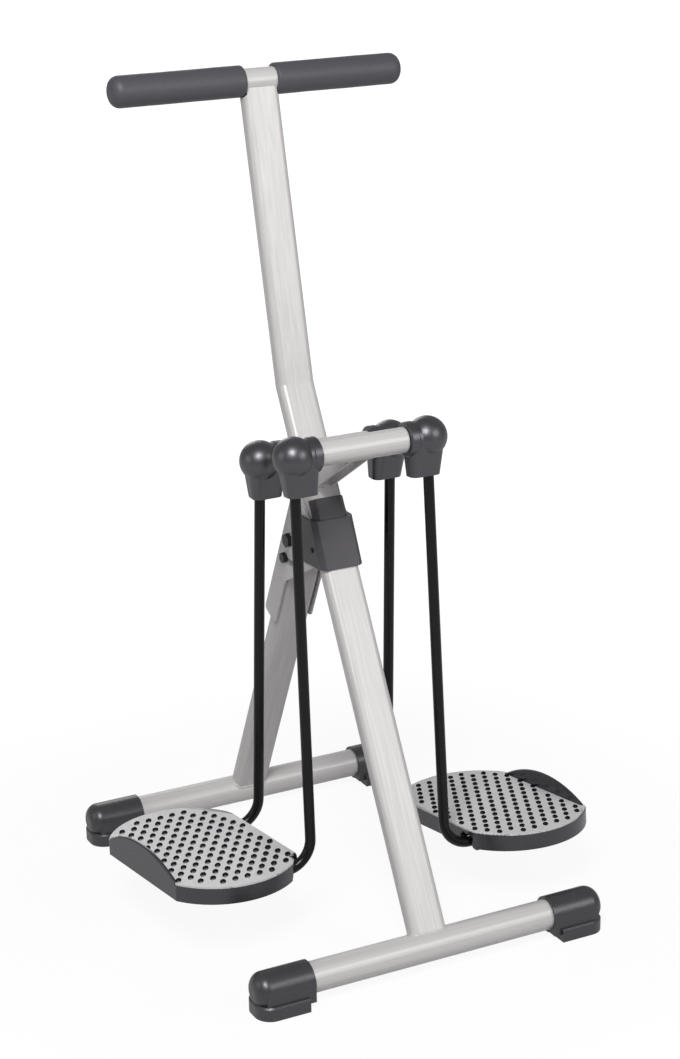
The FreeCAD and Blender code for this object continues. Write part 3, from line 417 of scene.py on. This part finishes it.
def plated_steel(colour):
    """Zinc plate over turned steel, whose marks run round the axles."""
    recipe = Recipe("zinc plated steel")
    recipe.tint(recipe.noise(180.0, detail=5.0, roughness=0.7), colour, darkest=0.8, lightest=1.12)
    recipe.plain(Metallic=1.0)
    recipe.roughen(recipe.noise(140.0, detail=4.0), 0.22, 0.42)
    turned = recipe.noise(900.0, detail=2.0, stretch=(8.0, 1.0, 1.0))
    recipe.relief(turned, strength=0.15, height=0.0001)
    return recipe.material


def black_oxide(colour):
    recipe = Recipe("black oxide steel")
    recipe.tint(recipe.noise(150.0, detail=4.0, roughness=0.6), colour, darkest=0.7, lightest=1.5)
    recipe.plain(Metallic=0.6)
    recipe.roughen(recipe.noise(200.0), 0.32, 0.48)
    recipe.relief(recipe.noise(1200.0, detail=2.0), strength=0.12, height=0.0001)
    return recipe.material


def bush_plastic(colour):
    recipe = Recipe("bush plastic")
    recipe.tint(recipe.noise(90.0), colour, darkest=0.9, lightest=1.06)
    recipe.roughen(recipe.noise(120.0), 0.36, 0.46)
    recipe.relief(recipe.noise(800.0, detail=2.0), strength=0.10, height=0.0001)
    return recipe.material


# Helpers for pieces

def clear_selection():
    if bpy.context.object is not None and bpy.context.object.mode != "OBJECT":
        bpy.ops.object.mode_set(mode="OBJECT")
    bpy.ops.object.select_all(action="DESELECT")


def choose(piece):
    """Selects the piece alone and makes it the active object."""
    clear_selection()
    piece.select_set(True)
    bpy.context.view_layer.objects.active = piece


def apply_place():
    """Applies the place, turn and scale of what is selected, so that it sits at the origin."""
    bpy.ops.object.transform_apply(location=True, rotation=True, scale=True)


def settle(piece, name, material, body):
    """Applies the piece's place, names it, paints it and lets it ride on its body."""
    choose(piece)
    apply_place()
    piece.name = name
    piece.data.name = name
    piece.data.materials.clear()
    piece.data.materials.append(material)
    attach(piece, body)


def paint_of(node):
    """The material that a CAD node was painted with."""
    return frame["nodes"][node].material_slots[0].material


def start_chain(point):
    """A new mesh with one vertex, selected in edit mode."""
    clear_selection()
    bpy.ops.mesh.primitive_plane_add(size=POINT_SIZE, location=(0, 0, 0))
    piece = bpy.context.object
    bpy.ops.object.mode_set(mode="EDIT")
    bpy.ops.mesh.select_all(action="SELECT")
    bpy.ops.mesh.merge(type="CENTER")
    bpy.ops.transform.translate(value=point)
    return piece


def turned_piece(profile, axis_point, sides):
    """Lathe: draws the profile of (x, radius) points above the axis and spins it round X."""
    piece = start_chain(Vector((profile[0][0], axis_point.y, axis_point.z + profile[0][1])))
    for before, after in zip(profile, profile[1:]):
        step = (after[0] - before[0], 0.0, after[1] - before[1])
        bpy.ops.mesh.extrude_region_move(TRANSFORM_OT_translate={"value": step})
    bpy.ops.mesh.select_all(action="SELECT")
    bpy.ops.mesh.spin(
        steps=sides, dupli=False, angle=math.tau, use_auto_merge=True, use_normal_flip=False,
        center=axis_point, axis=(1, 0, 0))
    bpy.ops.mesh.select_all(action="SELECT")
    bpy.ops.mesh.remove_doubles(threshold=MERGE_GAP)
    bpy.ops.mesh.normals_make_consistent(inside=False)
    bpy.ops.object.mode_set(mode="OBJECT")
    return piece


def arc_points(center, radius, start, finish, count):
    """Points of a round corner in the profile's plane, angles in degrees."""
    points = []
    for index in range(count + 1):
        turn = math.radians(start + (finish - start) * index / count)
        points.append((center[0] + radius * math.cos(turn), center[1] + radius * math.sin(turn)))
    return points


def apply_modifier(piece, kind, **settings):
    choose(piece)
    modifier = piece.modifiers.new(kind.title(), kind)
    for name, value in settings.items():
        setattr(modifier, name, value)
    bpy.ops.object.modifier_apply(modifier=modifier.name)


def dent(piece, name, size, layers, **settings):
    """Displaces the piece by clouds of this size, in so many layers of ever finer ones."""
    clouds = bpy.data.textures.new(name, "CLOUDS")
    clouds.noise_scale = size
    clouds.noise_depth = layers
    apply_modifier(piece, "DISPLACE", texture=clouds, texture_coords="LOCAL", **settings)


def smooth(piece, degrees):
    """Shades the piece smooth across edges that turn by less than this."""
    choose(piece)
    bpy.ops.object.shade_smooth_by_angle(angle=math.radians(degrees))


def copied_node(node, name):
    """A free copy of a CAD node's mesh, with its loose triangles merged."""
    clear_selection()
    source = frame["nodes"][node]
    piece = source.copy()
    piece.data = source.data.copy()
    piece.name = name
    piece.parent = None
    for key in list(piece.keys()):
        if key.startswith("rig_"):
            del piece[key]
    bpy.context.scene.collection.objects.link(piece)
    piece.matrix_world = Matrix.Identity(4)
    choose(piece)
    bpy.ops.object.mode_set(mode="EDIT")
    bpy.ops.mesh.select_all(action="SELECT")
    bpy.ops.mesh.remove_doubles(threshold=NODE_MERGE_GAP)
    bpy.ops.object.mode_set(mode="OBJECT")
    return piece


def middle_of(node):
    low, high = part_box(node)
    return (Vector(low) + Vector(high)) / 2


def tube_radius(node):
    """Outer radius of a round tube that lies level."""
    low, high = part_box(node)
    return (high[2] - low[2]) / 2


def length_axis(node):
    """Direction of a tube, from the middle of its low end to that of its high end."""
    low, high = [Vector(corner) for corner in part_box(node)]
    sides = high - low
    longest = max(range(3), key=lambda i: sides[i])
    points = sorted((v.co for v in frame["nodes"][node].data.vertices), key=lambda point: point[longest])
    count = max(FEWEST_END_POINTS, len(points) // END_SHARE)
    first = sum(points[:count], Vector()) / count
    last = sum(points[-count:], Vector()) / count
    return (last - first).normalized()


# Paint

class FINISH_OT_paint(bpy.types.Operator):
    """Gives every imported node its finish"""
    bl_idname = "air_walker.paint"
    bl_label = "Paint the nodes"

    def execute(self, context):
        colours = context.scene.walker_colours
        finishes = slot_finishes(colours)
        finishes.update(silver_finishes(colours.silver))
        slots = {part["node"]: part["material_slot"] for part in frame["record"]["subparts"]}
        for node, piece in frame["nodes"].items():
            if node not in slots:
                raise RuntimeError("no finish for " + node)
            material = finishes[finish_name(node, slots[node])]
            if not piece.material_slots:
                piece.data.materials.append(material)
            for slot in piece.material_slots:
                slot.material = material
        return {"FINISHED"}


def silver_finishes(colour):
    """A silver paint for each run of the tubes, by its name."""
    runs = {
        "mast": length_axis("mast"),
        "near leg": length_axis("leg_near"),
        "far leg": length_axis("leg_far"),
        "cross tubes": Vector((1.0, 0.0, 0.0)),
    }
    finishes = {}
    for run, along in runs.items():
        name = "silver paint, " + run
        finishes[name] = silver_paint(name, colour, along)
    return finishes


def slot_finishes(colours):
    """A material for each slot of the record, and for three kinds of moulded piece."""
    return {
        "black_paint": rod_paint(colours.black_paint),
        "black_plastic": moulded_plastic(
            "black plastic", colours.plastic, roughness=0.40, grain=2600.0, shine=0.55),
        "black_rubber": cap_rubber(colours.rubber),
        "foam": grip_foam(colours.foam),
        "grey_plastic": plate_plastic(colours.plate),
        "zinc_steel": plated_steel(colours.steel),
        "black_steel": black_oxide(colours.oxide),
        "bush_plastic": bush_plastic(colours.bush),
        "hinge_cover": moulded_plastic(
            "cover plastic", colours.cover, roughness=0.46, grain=2200.0, shine=0.4),
        "knuckle": moulded_plastic(
            "knuckle plastic", colours.knuckle, roughness=0.36, grain=2600.0, shine=1.0, index=1.6),
        "pedal_tray": moulded_plastic(
            "tray plastic", colours.plastic, roughness=0.27, grain=2600.0, shine=1.0),
    }


def finish_name(node, slot):
    """The finish of a node: its own kind's where it has one, and otherwise its slot's."""
    if slot == "silver_paint":
        return "silver paint, " + SILVER_RUNS.get(node, "cross tubes")
    for kind in ("hinge_cover", "knuckle", "pedal_tray"):
        if node.startswith(kind):
            return kind
    return slot


# Foam grips

class FINISH_OT_grips(bpy.types.Operator):
    """Models the two foam grips on the handlebar"""
    bl_idname = "air_walker.grips"
    bl_label = "Foam grips"

    def execute(self, context):
        sizes = context.scene.walker_grips
        for side, sense in (("right", 1), ("left", -1)):
            node = "grip_" + side
            middle = middle_of(node)
            profile = [(sense * x, radius) for x, radius in grip_profile(node, sizes)]
            piece = turned_piece(profile, Vector((0.0, middle.y, middle.z)), sizes.sides)
            if not piece.data.polygons:
                raise RuntimeError("the grip's profile did not spin")
            depth = -sizes.unevenness
            dent(piece, "foam dents " + side, DENT_SIZE, layers=1, strength=depth, mid_level=0.0)
            smooth(piece, degrees=50)
            settle(piece, "foam_" + node, paint_of(node), "frame")
            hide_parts(node)
        return {"FINISHED"}


def grip_profile(node, sizes):
    """Half of a grip's section, as points of distance from the walker's middle and radius."""
    low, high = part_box(node)
    inner, outer = sorted((abs(low[0]), abs(high[0])))
    bore = tube_radius("handlebar_tube") + BORE_GAP
    tube_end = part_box("handlebar_tube")[1][0] + BORE_GAP
    start = inner + sizes.lip
    finish = outer - sizes.end_turn
    profile = [(tube_end, 0.0), (tube_end, bore / 2), (tube_end, bore), (inner, bore)]
    profile += arc_points((start, sizes.radius - sizes.lip), sizes.lip, 180, 90, LIP_STEPS)
    for index in range(1, GRIP_RINGS):
        profile.append((start + (finish - start) * index / GRIP_RINGS, sizes.radius))
    profile += arc_points((finish, sizes.radius - sizes.end_turn), sizes.end_turn, 90, 0, END_STEPS)
    profile += [(outer, END_RING), (outer, 0.0)]
    return profile


# Anti-slip plates

class FINISH_OT_plates(bpy.types.Operator):
    """Models the two perforated anti-slip plates"""
    bl_idname = "air_walker.plates"
    bl_label = "Anti-slip plates"

    def execute(self, context):
        sizes = context.scene.walker_plates
        for side in ("left", "right"):
            node = "pedal_plate_" + side
            name = "perforated_plate_" + side
            plate = copied_node(node, name)
            cutter = hole_pattern(node, side, sizes)
            apply_modifier(plate, "BOOLEAN", object=cutter, operation="DIFFERENCE", solver="EXACT")
            bpy.data.objects.remove(cutter)
            merge_slivers(plate)
            if len(plate.data.polygons) < FEWEST_CUT_FACES:
                raise RuntimeError("the holes were not cut in " + node)
            smooth(plate, degrees=35)
            settle(plate, name, paint_of(node), "pedal_" + side)
            # painted shade: the walls of the holes are coloured with the dark tray plastic
            shade_hole_walls(plate, node, paint_of("pedal_tray_" + side))
            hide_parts(node)
        return {"FINISHED"}


def merge_slivers(piece):
    """Dissolves the tiny triangles that a cut leaves."""
    choose(piece)
    bpy.ops.object.mode_set(mode="EDIT")
    bpy.ops.mesh.select_all(action="SELECT")
    bpy.ops.mesh.dissolve_degenerate(threshold=MERGE_GAP)
    bpy.ops.mesh.normals_make_consistent(inside=False)
    bpy.ops.object.mode_set(mode="OBJECT")


def hole_pattern(node, side, sizes):
    """Pins that cut a lattice of oval holes in a plate, kept clear of its rim."""
    across = Vector((*getattr(sizes, side + "_across"), 0.0))
    along = Vector((*getattr(sizes, side + "_along"), 0.0))
    stretch = getattr(sizes, side + "_stretch")
    turn = sizes.hole_turn
    radius = sizes.hole_share * min(across.length, along.length, (across - along).length) / 2
    wide = Vector((math.cos(turn), math.sin(turn))) * radius
    long = Vector((-math.sin(turn), math.cos(turn))) * radius * stretch
    rim = plate_rim(node)
    middle = middle_of(node)
    pin = oval_pin(radius, stretch, turn)
    copies = []
    for i in range(-PINS_EACH_WAY, PINS_EACH_WAY + 1):
        for j in range(-PINS_EACH_WAY, PINS_EACH_WAY + 1):
            spot = middle + across * i + along * j
            if clear_of_rim(spot, rim, RIM_MARGIN, wide, long):
                copy = pin.copy()
                copy.data = pin.data.copy()
                copy.location = spot
                bpy.context.scene.collection.objects.link(copy)
                copies.append(copy)
    bpy.data.objects.remove(pin)
    return joined(copies)


def oval_pin(radius, stretch, turn):
    """A pin of oval section: its long side is turned by this angle from Y."""
    clear_selection()
    bpy.ops.mesh.primitive_cylinder_add(
        vertices=PIN_SIDES, radius=radius, depth=PIN_LENGTH, location=(0, 0, 0))
    pin = bpy.context.object
    pin.scale.y = stretch
    apply_place()
    pin.rotation_euler.z = turn
    apply_place()
    return pin


def joined(pieces):
    """One object of these pieces, at the origin."""
    clear_selection()
    for piece in pieces:
        piece.select_set(True)
    bpy.context.view_layer.objects.active = pieces[0]
    bpy.ops.object.join()
    apply_place()
    return bpy.context.object


def shade_hole_walls(plate, node, wall_shade):
    """Paints shade into the holes: their walls get the dark plastic of the tray underneath, as painted
    shade.
    """
    rim = plate_rim(node)
    none = Vector((0.0, 0.0))
    plate.data.materials.append(wall_shade)
    for face in plate.data.polygons:
        # a steep face inside the rim is a hole wall and gets the painted shade
        if abs(face.normal.z) < STEEP and clear_of_rim(face.center, rim, WALL_MARGIN, none, none):
            face.material_index = 1


def plate_rim(node):
    """Outline of a plate seen from above, as the convex hull of its corners."""
    vertices = frame["nodes"][node].data.vertices
    points = sorted({(round(v.co.x, 5), round(v.co.y, 5)) for v in vertices})
    return half_hull(points) + half_hull(points[::-1])


def half_hull(points):
    """The hull's points from the first one on, anticlockwise, without the last one."""
    chain = []
    for point in points:
        while len(chain) > 1 and not turns_left(chain[-2], chain[-1], point):
            chain.pop()
        chain.append(point)
    return chain[:-1]


def turns_left(a, b, c):
    """Whether the way from a over b to c turns left."""
    return (b[0] - a[0]) * (c[1] - a[1]) - (b[1] - a[1]) * (c[0] - a[0]) > 0


def clear_of_rim(spot, rim, margin, wide, long):
    """Whether an oval with these half axes round the spot stays inside the rim by the margin."""
    for a, b in zip(rim, rim[1:] + rim[:1]):
        edge = Vector((b[0] - a[0], b[1] - a[1]))
        inward = Vector((-edge.y, edge.x)) / edge.length
        reach = math.hypot(inward.dot(wide), inward.dot(long))
        if (spot.x - a[0]) * inward.x + (spot.y - a[1]) * inward.y < margin + reach:
            return False
    return True


# Weld beads

class FINISH_OT_welds(bpy.types.Operator):
    """Lays weld beads where the tubes meet"""
    bl_idname = "air_walker.welds"
    bl_label = "Weld beads"

    def execute(self, context):
        sizes = context.scene.walker_welds
        saddles = (
            ("leg_near", "base_tube_near", "frame", "weld_near_leg"),
            ("leg_far", "base_tube_far", "rear_leg", "weld_far_leg"),
            ("mast", "handlebar_tube", "frame", "weld_mast_head"),
        )
        for tube, carrier, body, name in saddles:
            bead = weld_bead(tube, carrier, sizes, name)
            settle(bead, name, paint_of("mast"), body)
        return {"FINISHED"}


def weld_bead(tube, carrier, sizes, name):
    """Bead along the rim of a tube's end: the rim is copied, rounded into a tube and rippled."""
    piece = copied_node(tube, name)
    end_rims_only(piece, carrier)
    outer_loop_only(piece)
    choose(piece)
    bpy.ops.object.convert(target="CURVE")
    curve = bpy.context.object
    if len(curve.data.splines) != 1 or not curve.data.splines[0].use_cyclic_u:
        raise RuntimeError("the rim to weld on " + tube + " is not one closed loop")
    curve.data.bevel_depth = sizes.bead
    curve.data.bevel_resolution = BEAD_ROUNDNESS
    choose(curve)
    bpy.ops.object.convert(target="MESH")
    bead = bpy.context.object
    dent(bead, "ripple " + name, RIPPLE_SIZE, layers=2, strength=sizes.ripple, mid_level=0.5)
    smooth(bead, degrees=60)
    return bead


def end_rims_only(piece, carrier):
    """Keeps the inner and outer rims of the end that is cut to sit on the carrying tube."""
    mesh = piece.data
    axis = middle_of(carrier)
    radius = tube_radius(carrier)
    uses = {}
    for face in mesh.polygons:
        away = Vector((0.0, face.center.y - axis.y, face.center.z - axis.z)).normalized()
        corners = [mesh.vertices[index].co for index in face.vertices]
        seated = all(abs(math.hypot(p.y - axis.y, p.z - axis.z) - radius) < SEAT_GAP for p in corners)
        if seated and abs(face.normal.dot(away)) > SEAT_FACING:
            for key in face.edge_keys:
                uses[key] = uses.get(key, 0) + 1
    inside = {edge.index for edge in mesh.edges if uses.get(edge.key) != 1}
    delete_parts(piece, mesh.edges, inside, "EDGE")


def outer_loop_only(piece):
    """Keeps the widest closed loop of edges: the outside of the tube's wall."""
    mesh = piece.data
    neighbours = {v.index: [] for v in mesh.vertices}
    for edge in mesh.edges:
        a, b = edge.vertices
        neighbours[a].append(b)
        neighbours[b].append(a)
    widest = max(neighbours, key=lambda i: abs(mesh.vertices[i].co.x))
    found = {widest}
    queue = [widest]
    while queue:
        for other in neighbours[queue.pop()]:
            if other not in found:
                found.add(other)
                queue.append(other)
    delete_parts(piece, mesh.vertices, set(neighbours) - found, "VERT")


def delete_parts(piece, parts, unwanted, kind):
    """Deletes these vertices or edges of a mesh, picked by their numbers."""
    choose(piece)
    bpy.context.tool_settings.mesh_select_mode = (kind == "VERT", kind == "EDGE", False)
    for group in (piece.data.polygons, piece.data.edges, piece.data.vertices):
        for part in group:
            part.select = False
    for part in parts:
        part.select = part.index in unwanted
    bpy.ops.object.mode_set(mode="EDIT")
    bpy.ops.mesh.delete(type=kind)
    bpy.ops.object.mode_set(mode="OBJECT")


# Studio

class FINISH_OT_studio(bpy.types.Operator):
    """Sets up the floor, the lights and the camera"""
    bl_idname = "air_walker.studio"
    bl_label = "Studio"

    def execute(self, context):
        sizes = context.scene.walker_stage
        context.scene.view_settings.view_transform = "Standard"
        clear_selection()
        bpy.ops.mesh.primitive_plane_add(size=FLOOR_SIZE, location=(0, 0, -FLOOR_DROP))
        floor = bpy.context.object
        floor.name = "floor"
        apply_place()
        floor.data.materials.append(floor_material(sizes))
        white_world(context.scene, sizes)
        for name, (place, width) in LIGHTS.items():
            area_light(name, place, width, getattr(sizes, name + "_power"))
        photo_camera(context.scene, sizes)
        return {"FINISHED"}


def photo_camera(scene, sizes):
    camera = bpy.data.cameras.new("photo_camera")
    camera.sensor_fit = "VERTICAL"
    camera.sensor_height = SENSOR_HEIGHT
    camera.lens = sizes.lens
    camera.clip_end = CAMERA_REACH
    holder = bpy.data.objects.new("photo_camera", camera)
    scene.collection.objects.link(holder)
    holder.matrix_world = camera_matrix(sizes)
    scene.camera = holder


def camera_matrix(sizes):
    """Where the camera stands and how it is turned, from its yaw, pitch and roll."""
    yaw, pitch, roll = sizes.camera_yaw, sizes.camera_pitch, sizes.camera_roll
    ahead = Vector((math.sin(yaw) * math.cos(pitch), math.cos(yaw) * math.cos(pitch), -math.sin(pitch)))
    right = Vector((math.cos(yaw), -math.sin(yaw), 0.0))
    down = ahead.cross(right)
    rolled = right * math.cos(roll) + down * math.sin(roll)
    down = down * math.cos(roll) - right * math.sin(roll)
    turn = Matrix((rolled, -down, -ahead)).transposed().to_4x4()
    return Matrix.Translation(Vector(sizes.camera_place)) @ turn


def area_light(name, place, width, power):
    """A round soft light that looks at the middle of the object."""
    light = bpy.data.lights.new(name, "AREA")
    light.shape = "DISK"
    light.size = width
    light.energy = power
    holder = bpy.data.objects.new(name, light)
    bpy.context.scene.collection.objects.link(holder)
    holder.location = place
    holder.rotation_euler = (Vector(LIGHTS_AIM) - Vector(place)).to_track_quat("-Z", "Y").to_euler()


def floor_material(sizes):
    """White floor that shows even light, and near the object a share of its real shading."""
    material = bpy.data.materials.new("floor white")
    wiring = Wiring(material)
    nodes = wiring.nodes
    nodes.remove(nodes["Principled BSDF"])
    lit = nodes.new("ShaderNodeBsdfDiffuse")
    lit.inputs["Color"].default_value = (sizes.floor_grey, sizes.floor_grey, sizes.floor_grey, 1.0)
    glow = nodes.new("ShaderNodeEmission")
    glow.inputs["Strength"].default_value = sizes.floor_glow
    place = nodes.new("ShaderNodeTexCoord")
    distance = nodes.new("ShaderNodeVectorMath")
    distance.operation = "LENGTH"
    wiring.join(place.outputs["Object"], distance.inputs[0])
    even = wiring.spread(
        distance.outputs["Value"], sizes.even_share, 1.0, sizes.shadow_start, sizes.shadow_reach)
    mix = nodes.new("ShaderNodeMixShader")
    wiring.join(wiring.calculate("MULTIPLY", wiring.shown(sizes.mirrored_floor), even), mix.inputs["Fac"])
    wiring.join(lit.outputs["BSDF"], mix.inputs[1])
    wiring.join(glow.outputs["Emission"], mix.inputs[2])
    wiring.join(mix.outputs["Shader"], nodes["Material Output"].inputs["Surface"])
    return material


def white_world(scene, sizes):
    """Surroundings that show white and light the object only a little."""
    scene.world = bpy.data.worlds.new("studio")
    wiring = Wiring(scene.world)
    background = wiring.nodes["Background"]
    background.inputs["Color"].default_value = (1, 1, 1, 1)
    level = wiring.spread(wiring.shown(sizes.mirrored_white), sizes.ambient, 1.0)
    wiring.join(level, background.inputs["Strength"])


# Panel, registration and run

class FINISH_PT_panel(bpy.types.Panel):
    """Lists the sizes, colours and steps of the finish"""
    bl_idname = "FINISH_PT_air_walker"
    bl_label = "Air walker"
    bl_space_type = "VIEW_3D"
    bl_region_type = "UI"
    bl_category = "Air walker"

    def draw(self, context):
        layout = self.layout
        for kind in STEPS:
            layout.operator(kind.bl_idname)
        for holder, kind in GROUPS:
            box = layout.box()
            for name in kind.__annotations__:
                box.prop(getattr(context.scene, holder), name)


GROUPS = (
    ("walker_grips", GripSizes),
    ("walker_plates", PlateSizes),
    ("walker_welds", WeldSizes),
    ("walker_colours", FinishColours),
    ("walker_stage", StageSizes),
)
STEPS = (FINISH_OT_paint, FINISH_OT_grips, FINISH_OT_plates, FINISH_OT_welds, FINISH_OT_studio)


def register():
    for holder, kind in GROUPS:
        bpy.utils.register_class(kind)
        setattr(bpy.types.Scene, holder, PointerProperty(type=kind))
    for kind in STEPS:
        bpy.utils.register_class(kind)
    bpy.utils.register_class(FINISH_PT_panel)


def unregister():
    bpy.utils.unregister_class(FINISH_PT_panel)
    for kind in reversed(STEPS):
        bpy.utils.unregister_class(kind)
    for holder, kind in reversed(GROUPS):
        delattr(bpy.types.Scene, holder)
        bpy.utils.unregister_class(kind)


def main():
    register()
    bpy.ops.air_walker.paint()
    bpy.ops.air_walker.grips()
    bpy.ops.air_walker.plates()
    bpy.ops.air_walker.welds()
    bpy.ops.air_walker.studio()
    bpy.context.view_layer.update()


if __name__ == "__main__":
    main()
